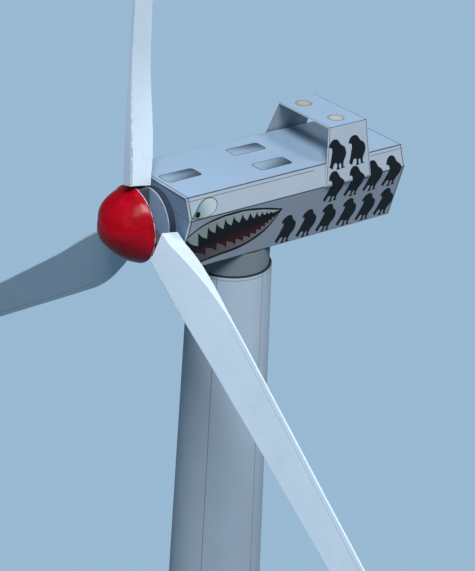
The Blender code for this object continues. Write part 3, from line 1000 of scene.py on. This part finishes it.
def section(reach, root_depth, share=1.0, slant=0.0):
    """The blade's four corners at one reach, narrowed by a share towards the tip."""
    straight, curved = edges_at(reach)
    middle = (straight + curved) / 2.0
    half = (straight - curved) / 2.0 * share
    depth = 0.8 + (root_depth - 0.8) * (1.0 - ease((reach - 14.0) / 46.0))
    fold = 1.1 + 1.6 * (1.0 - ease((reach - 20.0) / 45.0))
    near, wide = middle + half, middle - half
    near_reach, wide_reach = (reach + slant * (place - ROOT_EDGE) for place in (near, wide))
    points = ((near, 0.0, near_reach), (wide, 0.0, wide_reach), (wide, depth, wide_reach),
              (near, fold, near_reach))
    return [Vector(point) * MM for point in points]


def blade_turn(azimuth, pitch, lean, seat):
    """Where a blade stands: its own Z runs out along it and its Y to its back."""
    return (Matrix.Translation((0.0, FRONT - seat * MM, AXIS_Z)) @ Matrix.Rotation(radians(azimuth), 4, "Y")
            @ Matrix.Rotation(radians(lean), 4, "X") @ Matrix.Rotation(radians(pitch), 4, "Z"))


widths = [straight - curved for straight, curved in map(edges_at, STATIONS)]
print("a blade is", round(max(widths), 1), "mm wide at its widest")


# %% The blade's print and its cut edges
def blade_print(name, tint, line_at, strength, far_line):
    """Pale card, with a broken line along the straight edge's fold and a fine one inside the curved edge."""
    finish = Finish(name, Specular_IOR_Level=0.32)
    place = finish.place()
    sheet = finish.node("ShaderNodeUVMap", {"uv_map": "sheet"})
    across, out, _ = finish.axes(sheet)
    fibres = grain(finish, place, 0.05, 0.07)
    broken = finish.noise(place, 1.6 * MM, 2.0).spread(0.35, 0.6)
    line = stripe(across - line_at, line_at * 1.6, 0.12 * MM) * broken * out.below(34.0 * MM, 14.0 * MM)
    beside = stripe(across + out * 0.058 - 19.8 * MM, THIN_LINE, 0.12 * MM) * out.above(46.0 * MM, 8.0 * MM)
    line = line.most(beside * far_line)
    handled = finish.noise(place, 9.0 * MM, 3.0).spread(0.5, 0.8)
    base = finish.mix(line * strength, tint, print_tint(96, 104, 118))
    base = finish.mix(handled * 0.10, base, print_tint(176, 180, 186))
    base = finish.mix(out.below(0.6 * MM, 0.15 * MM), base, print_tint(255, 255, 255))
    return card_ends(finish, base, fibres, 0.6, 0.15)


blade_front = blade_print("blade_front", print_tint(238, 246, 254), 0.25 * MM, 0.45, 0.9)
blade_back = blade_print("blade_back", print_tint(248, 252, 255), 0.6 * MM, 0.6, 0.0)
# Painted shade: the curved edge's wall is a greyer copy of the blade's white card.
shaded_blade_wall = card("shaded_blade_wall", print_tint(205, 210, 213), 0.62, 0.05, 0.08)
blade_nose = card("blade_nose", print_tint(184, 192, 204), 0.66, 0.08, 0.1)
blade_edge = card("blade_edge", print_tint(242, 243, 245), 0.7, 0.03, 0.1)
blade_looks = (blade_front, blade_back, shaded_blade_wall, blade_edge, blade_nose)


# %% Fold the blades
def lofted(rings):
    """A closed body pulled from the first ring of corners through the others."""
    bm = bmesh.new()
    face = bm.faces.new([bm.verts.new(point) for point in rings[0]])
    for ring in rings[1:]:
        grown = bmesh.ops.extrude_face_region(bm, geom=[face, *face.edges])
        face = only(grown, bmesh.types.BMFace)[0]
        for vert, point in zip(face.verts, ring):
            vert.co = point
    bmesh.ops.recalc_face_normals(bm, faces=bm.faces)
    return bm


def keep_sheet_places(bm, root):
    """Write each corner's distances from the straight edge and from the slanting root end as its UV place."""
    layer = bm.loops.layers.uv.new("sheet")
    for face in bm.faces:
        for loop in face.loops:
            spot = loop.vert.co
            loop[layer].uv = (edges_at(spot.z / MM)[0] * MM - spot.x,
                              spot.z - root * MM - ROOT_SLANT * (spot.x - ROOT_EDGE * MM))


def blade_part(face):
    """0 front, 1 back, 2 the curved edge's wall, 3 the cut ends, 4 the straight edge's wall."""
    if abs(face.normal.z) > 0.62:
        return 3
    if abs(face.normal.y) > 0.72:
        return 0 if face.normal.y < 0.0 else 1
    return 4 if face.normal.x > 0.0 else 2


for name, (azimuth, pitch, lean, seat, root, root_depth) in BLADES.items():
    rings = [section(root, root_depth, slant=ROOT_SLANT)]
    rings += [section(reach, root_depth) for reach in STATIONS]
    rings += [section(reach, root_depth, share) for reach, share in TIP]
    blade_bm = lofted(rings)
    soften(blade_bm, 0.22 * MM, 2, 35.0)
    for vert in blade_bm.verts:
        waver = noise.noise(Vector((vert.co.x * 30.0, 7.0 * azimuth, vert.co.z * 22.0)))
        vert.co.y += waver * 0.35 * MM * ease((vert.co.z / MM - 25.0) / 60.0)
    bmesh.ops.recalc_face_normals(blade_bm, faces=blade_bm.faces)
    for index in (1, 2, 3, 4):
        paint(blade_bm, index, lambda face: blade_part(face) == index)
    keep_sheet_places(blade_bm, root)
    bmesh.ops.transform(blade_bm, matrix=blade_turn(azimuth, pitch, lean, seat), verts=blade_bm.verts)
    piece(name + "_card", blade_bm, blade_looks, "rotor", (name,), turn_out=False)


# %% [markdown]
# ## Figures in ink
# Black birds stand in rows on both flanks, and an open mouth with teeth and an eye is painted at the front,
# as crews have long painted them on the noses of machines. Shader maths can draw lines and boxes, but not
# such outlines. So each figure is a flat curve with a fill, made a mesh and laid on the card as a layer of
# ink a few hundredths of a millimetre thick. The outlines are in the sheet's millimetres: along the hull,
# and up from the crease. A third value marks a sharp corner.

# %% From the flat sheet to the flank
INK_DEPTH = 0.03
SINK = 0.01


def direction(first, second):
    """The unit vector from one corner of the section to the next, and the way out from that face."""
    run = (Vector(second) - Vector(first)).normalized()
    return run, Vector((abs(run.y), -run.x if run.y > 0.0 else run.x))


def on_face(origin, run, out, spot, side):
    """A spot of the flat print, in millimetres, as its place on one face of the hull."""
    flat = Vector(origin) + run * (abs(spot.y) * MM) + out * (spot.z * MM)
    return Vector((side * flat.x, FRONT + spot.x * MM, CREASE_Z + flat.y))


UPPER = ((CREASE_HALF, 0.0), *direction((CREASE_HALF, 0.0), (ROOF_HALF, RISE)))
LOWER = ((CREASE_HALF, 0.0), *direction((CREASE_HALF, 0.0), (FLOOR_HALF, -DROP)))
LEG = ((BRIDGE_FOOT_HALF, 0.0), *direction((BRIDGE_FOOT_HALF, 0.0), (BRIDGE_HALF, BRIDGE_RISE)))
print("upper face leans out", [round(part, 3) for part in UPPER[2]], "lower",
      [round(part, 3) for part in LOWER[2]])


# %% A layer of ink
def ink_shape(outlines, depth=INK_DEPTH):
    """Filled outlines with some thickness, as a bmesh."""
    curve = bpy.data.curves.new("ink", "CURVE")
    curve.dimensions = "2D"
    curve.fill_mode = "BOTH"
    curve.extrude = (depth + SINK) / 2.0
    for outline in outlines:
        spline = curve.splines.new("BEZIER")
        spline.bezier_points.add(len(outline) - 1)
        spline.use_cyclic_u = True
        spline.resolution_u = 5
        for knot, place in zip(spline.bezier_points, outline):
            knot.co = (place[0], place[1], 0.0)
            knot.handle_left_type = knot.handle_right_type = "VECTOR" if len(place) > 2 else "AUTO"
    holder = bpy.data.objects.new("ink", curve)
    bpy.context.scene.collection.objects.link(holder)
    mesh = bpy.data.meshes.new_from_object(holder.evaluated_get(bpy.context.evaluated_depsgraph_get()))
    bm = bmesh.new()
    bm.from_mesh(mesh)
    bmesh.ops.remove_doubles(bm, verts=bm.verts, dist=0.002)
    bmesh.ops.translate(bm, verts=bm.verts, vec=(0.0, 0.0, (depth - SINK) / 2.0))
    bpy.data.objects.remove(holder)
    bpy.data.meshes.remove(mesh)
    bpy.data.curves.remove(curve)
    return bm


# %% Lay a shape on the hull
def half_of(bm, upper):
    """The part of a shape above or below the crease, closed again where it was cut."""
    kept = bm.copy()
    geom = kept.verts[:] + kept.edges[:] + kept.faces[:]
    bmesh.ops.bisect_plane(kept, geom=geom, dist=0.001, plane_co=(0.0, 0.0, 0.0), plane_no=(0.0, 1.0, 0.0),
                           clear_inner=upper, clear_outer=not upper)
    bmesh.ops.holes_fill(kept, edges=[edge for edge in kept.edges if edge.is_boundary], sides=0)
    return kept


def lay(target, shape, face, side, index, shift=(0.0, 0.0)):
    """Put a shape on a face of the hull, in the bmesh that gathers one flank's figures."""
    laid = shape.copy()
    bmesh.ops.translate(laid, verts=laid.verts, vec=(*shift, 0.0))
    for vert in laid.verts:
        vert.co = on_face(*face, vert.co, side)
    bmesh.ops.recalc_face_normals(laid, faces=laid.faces)
    for patch in laid.faces:
        patch.material_index = index
    mesh = bpy.data.meshes.new("laid")
    laid.to_mesh(mesh)
    laid.free()
    target.from_mesh(mesh)
    bpy.data.meshes.remove(mesh)


# %% [markdown]
# ## The birds
# One outline serves for all the birds: a raptor at rest, upright, looking forward over its folded wing,
# with a tail to the front and two legs. Six stand near the floor's fold, four across the crease and two on
# the bridge's leg. The four are cut at the crease, so each half lies flat on its own face.

# %% The bird's outline
BIRD = ((-4.8, 1.5, 1), (-3.9, 4.0), (-3.2, 6.6), (-2.7, 8.8), (-2.9, 9.8), (-4.0, 10.1, 1), (-3.7, 11.3),
        (-2.9, 12.5), (-1.5, 13.3), (0.1, 12.9), (0.9, 11.6), (1.5, 10.5), (2.8, 9.4), (3.4, 7.4), (3.1, 5.2),
        (2.2, 3.6), (1.7, 2.4, 1), (1.5, 0.8, 1), (2.3, 0.1, 1), (0.3, 0.1, 1), (0.6, 0.9, 1), (0.5, 2.3, 1),
        (-0.2, 2.4, 1), (-0.5, 0.9, 1), (-0.1, -0.1, 1), (-1.9, -0.1, 1), (-1.4, 0.8, 1), (-1.2, 2.5, 1),
        (-2.2, 2.9), (-2.9, 1.9), (-3.5, 0.3, 1), (-4.1, 1.1, 1))
LOW_ROW = ((48.1, -22.9), (57.9, -22.8), (67.4, -22.8), (77.4, -22.7), (86.8, -22.7), (96.0, -22.6))
CREASE_ROW = ((66.6, -8.1), (76.5, -8.1), (85.8, -8.0), (95.2, -8.0))
LEG_ROW = ((68.5, 5.5), (77.9, 5.4))
LEG_ENDS = 80.0


def ink(name, tint, roughness=0.5, faded=0.06):
    """Printed ink: nearly even, a little thin over the card's fibres, and slightly glossy."""
    finish = Finish(name, Specular_IOR_Level=0.12)
    place = finish.place()
    factor, bump, pores = grain(finish, place, 0.1, 0.12)
    thin = finish.noise(place, 0.35 * MM, 3.0, 0.7).spread(0.62, 0.80)
    base = finish.mix(thin * faded, finish.multiply(tint, factor), print_tint(150, 152, 156))
    return finish.ends(Base_Color=base, Normal=bump, Roughness=roughness + (pores - 0.5) * 0.2)


black_ink = ink("black_ink", print_tint(24, 26, 30), 0.48, 0.18)
bird = ink_shape([BIRD])
leg_bird = ink_shape([[(place[0] * 1.05, place[1] * 0.84, *place[2:]) for place in BIRD]])
print("a bird has", len(bird.faces), "faces")


# %% Lay the birds on both flanks
def place_row(target, row, face, side, shape):
    for spot in row:
        lay(target, shape, face, side, 0, spot)


def place_over_crease(target, spot, upper_face, side):
    """A bird whose feet are below the crease and whose head is above it."""
    shifted = bird.copy()
    bmesh.ops.translate(shifted, verts=shifted.verts, vec=(*spot, 0.0))
    for upper, face in ((True, upper_face), (False, LOWER)):
        half = half_of(shifted, upper)
        lay(target, half, face, side, 0)
        half.free()
    shifted.free()


for side, word in ((1.0, "right"), (-1.0, "left")):
    birds = bmesh.new()
    place_row(birds, LOW_ROW, LOWER, side, bird)
    place_row(birds, LEG_ROW, LEG, side, leg_bird)
    for spot in CREASE_ROW:
        place_over_crease(birds, spot, LEG if spot[0] < LEG_ENDS else UPPER, side)
    piece("birds_" + word, birds, (black_ink,), "nacelle", angle=20.0)


# %% [markdown]
# ## The mouth and the eye
# The mouth is built from layers, as a painter does it: first all of it in black, then the dark red of its
# floor, and the teeth on top. Its jaws are two smooth lines. The teeth of a jaw could be separate
# triangles, but where two overlap the fill would leave a hole, so a row of teeth is one outline: it follows
# the jaw just inside the black line, then comes back over each tip and each notch. The jaw's height at a
# place is found between the two nearest points of its line.

# %% The mouth's shapes
UPPER_JAW = ((0.15, -7.2), (3.6, -4.6), (7.4, -2.6), (14.7, -0.95), (24.6, -0.85), (33.5, -2.5),
             (42.5, -5.2))
LOWER_JAW = ((42.5, -5.2), (40.4, -9.2), (36.4, -14.4), (28.0, -18.8), (15.4, -20.5), (7.0, -21.7),
             (0.15, -22.6))
UPPER_TIPS = ((6.4, -12.8), (9.6, -10.2), (12.8, -8.4), (16.2, -7.5), (19.6, -6.8), (23.1, -6.5),
              (26.6, -6.4), (29.7, -6.3), (32.3, -6.2), (34.5, -6.1), (36.4, -6.1), (38.2, -6.0))
UPPER_NOTCHES = ((0.4, -8.2), (4.8, -6.0), (8.7, -4.5), (12.2, -3.6), (15.9, -2.9), (19.7, -2.6),
                 (23.6, -2.7), (27.2, -3.0), (30.2, -3.5), (32.9, -4.1), (35.2, -4.7), (37.1, -5.1))
LOWER_TIPS = ((0.4, -17.4), (5.2, -15.7), (10.2, -14.7), (15.0, -14.0), (19.4, -14.2), (23.6, -14.3),
              (27.0, -14.0), (30.0, -13.4), (32.5, -12.3), (34.4, -11.2), (35.9, -10.2), (37.2, -9.2),
              (38.4, -8.2))
LOWER_NOTCHES = ((4.8, -19.4), (11.0, -18.4), (15.6, -17.6), (19.9, -17.4), (23.8, -17.1), (27.2, -16.6),
                 (30.2, -15.8), (32.6, -14.7), (34.6, -13.5), (36.1, -12.3), (37.4, -11.0), (38.6, -9.8),
                 (39.5, -8.6))
LIP_STATIONS = (0.4, 4.0, 8.0, 12.0, 16.0, 20.0, 25.0, 30.0, 34.0, 37.5, 39.6, 41.0)


# %% Rows of teeth
def jaw_height(jaw, along):
    """The jaw's height at a place along the hull."""
    for first, second in zip(jaw, jaw[1:]):
        low, high = sorted((first[0], second[0]))
        if low <= along <= high:
            share = (along - first[0]) / (second[0] - first[0])
            return first[1] + share * (second[1] - first[1])
    return jaw[0][1] if abs(along - jaw[0][0]) < abs(along - jaw[-1][0]) else jaw[-1][1]


def row_of_teeth(jaw, tips, notches, gap, leans_back):
    """One outline: along the jaw inside its black line, then back over each tip and each notch."""
    outline = [(along, jaw_height(jaw, along) + gap) for along in LIP_STATIONS]
    outline[0] = (*outline[0], 1)
    outline[-1] = (*outline[-1], 1)
    for tip, notch in reversed(list(zip(tips, notches))):
        swell = (notch[0] + 0.42 * (tip[0] - notch[0]), notch[1] + 0.58 * (tip[1] - notch[1]))
        step = [(*tip, 1), swell, (*notch, 1)]
        outline += step if leans_back else reversed(step)
    return outline


mouth = [(*UPPER_JAW[0], 1), *UPPER_JAW[1:-1], (*UPPER_JAW[-1], 1), *LOWER_JAW[1:-1], (*LOWER_JAW[-1], 1)]
floor_line = ((0.15, -12.0, 1), (10.0, -10.0), (20.0, -8.4), (30.0, -7.2), (39.4, -6.4, 1), (38.6, -9.6),
              (35.2, -14.0), (27.6, -17.9), (15.3, -19.7), (7.0, -20.9), (0.15, -21.8, 1))
upper_teeth = row_of_teeth(UPPER_JAW, UPPER_TIPS, UPPER_NOTCHES, -0.85, True)
lower_teeth = row_of_teeth(LOWER_JAW, LOWER_TIPS, LOWER_NOTCHES, 0.95, False)
print(len(UPPER_TIPS), "upper teeth,", len(LOWER_TIPS), "lower teeth")

# %% The eye
EYE = ((0.6, 0.7, 1), (3.0, 3.2), (5.1, 5.4), (7.1, 6.6), (9.8, 6.9), (12.0, 5.8), (12.4, 3.6), (10.3, 1.2),
       (7.5, 0.15), (4.9, 0.15))


def drawn_in(outline, centre_spot, share):
    """An outline made smaller towards a spot inside it."""
    return [((place[0] - centre_spot[0]) * share + centre_spot[0],
             (place[1] - centre_spot[1]) * share + centre_spot[1], *place[2:]) for place in outline]


eye_white = drawn_in(EYE, (9.2, 3.3), 0.91)
pupil = [(2.5, 1.3), (2.9, 2.3), (3.8, 2.9), (4.6, 2.3), (4.4, 1.3), (3.4, 0.9)]
print("the eye's outline has", len(EYE), "points")


# %% The face on both flanks
def shaded_ink(name, near, rear, start, end):
    """Ink whose colour changes along the hull, from one place to another."""
    finish = Finish(name, Specular_IOR_Level=0.14)
    place = finish.place()
    _, along, _ = finish.axes(place)
    fibres = grain(finish, place, 0.1, 0.1)
    base = finish.mix((along - FRONT).spread(start * MM, end * MM), near, rear)
    return card_ends(finish, base, fibres, 0.55, 0.2)


def throat_ink():
    """Dark red that turns black towards the upper jaw and the front edge."""
    finish = Finish("throat_red", Specular_IOR_Level=0.12)
    place = finish.place()
    _, along, height = finish.axes(place)
    fibres = grain(finish, place, 0.1, 0.1)
    level = (height - CREASE_Z) - (along - FRONT) * 0.17
    dark = level.spread(-17.6 * MM, -13.4 * MM).most((along - FRONT).spread(0.0, 14.0 * MM, 0.7, 0.0))
    base = finish.mix(dark, print_tint(70, 26, 27), print_tint(20, 18, 20))
    return card_ends(finish, base, fibres, 0.55, 0.2)


face_inks = (ink("mouth_black", print_tint(20, 18, 20), 0.5, 0.1), throat_ink(),
             shaded_ink("tooth_white", print_tint(168, 174, 168), print_tint(200, 198, 194), 3.0, 30.0),
             shaded_ink("tooth_grey", print_tint(96, 86, 84), print_tint(150, 134, 130), 3.0, 38.0),
             ink("eye_line", print_tint(62, 76, 68), 0.55, 0.1),
             shaded_ink("eye_white", print_tint(112, 128, 118), print_tint(172, 182, 178), 1.5, 11.0))
# Each layer stands 0.02 mm above the one under it. With it go its face of the hull and its ink's number.
layers = ((ink_shape([mouth], 0.03), LOWER, 0), (ink_shape([floor_line], 0.05), LOWER, 1),
          (ink_shape([lower_teeth], 0.07), LOWER, 3), (ink_shape([upper_teeth], 0.09), LOWER, 2),
          (ink_shape([EYE], 0.03), UPPER, 4), (ink_shape([eye_white], 0.05), UPPER, 5),
          (ink_shape([pupil], 0.07), UPPER, 0))
for side, word in ((1.0, "right"), (-1.0, "left")):
    figures = bmesh.new()
    for shape, face, index in layers:
        lay(figures, shape, face, side, index)
    piece("mouth_and_eye_" + word, figures, face_inks, "nacelle", angle=20.0)
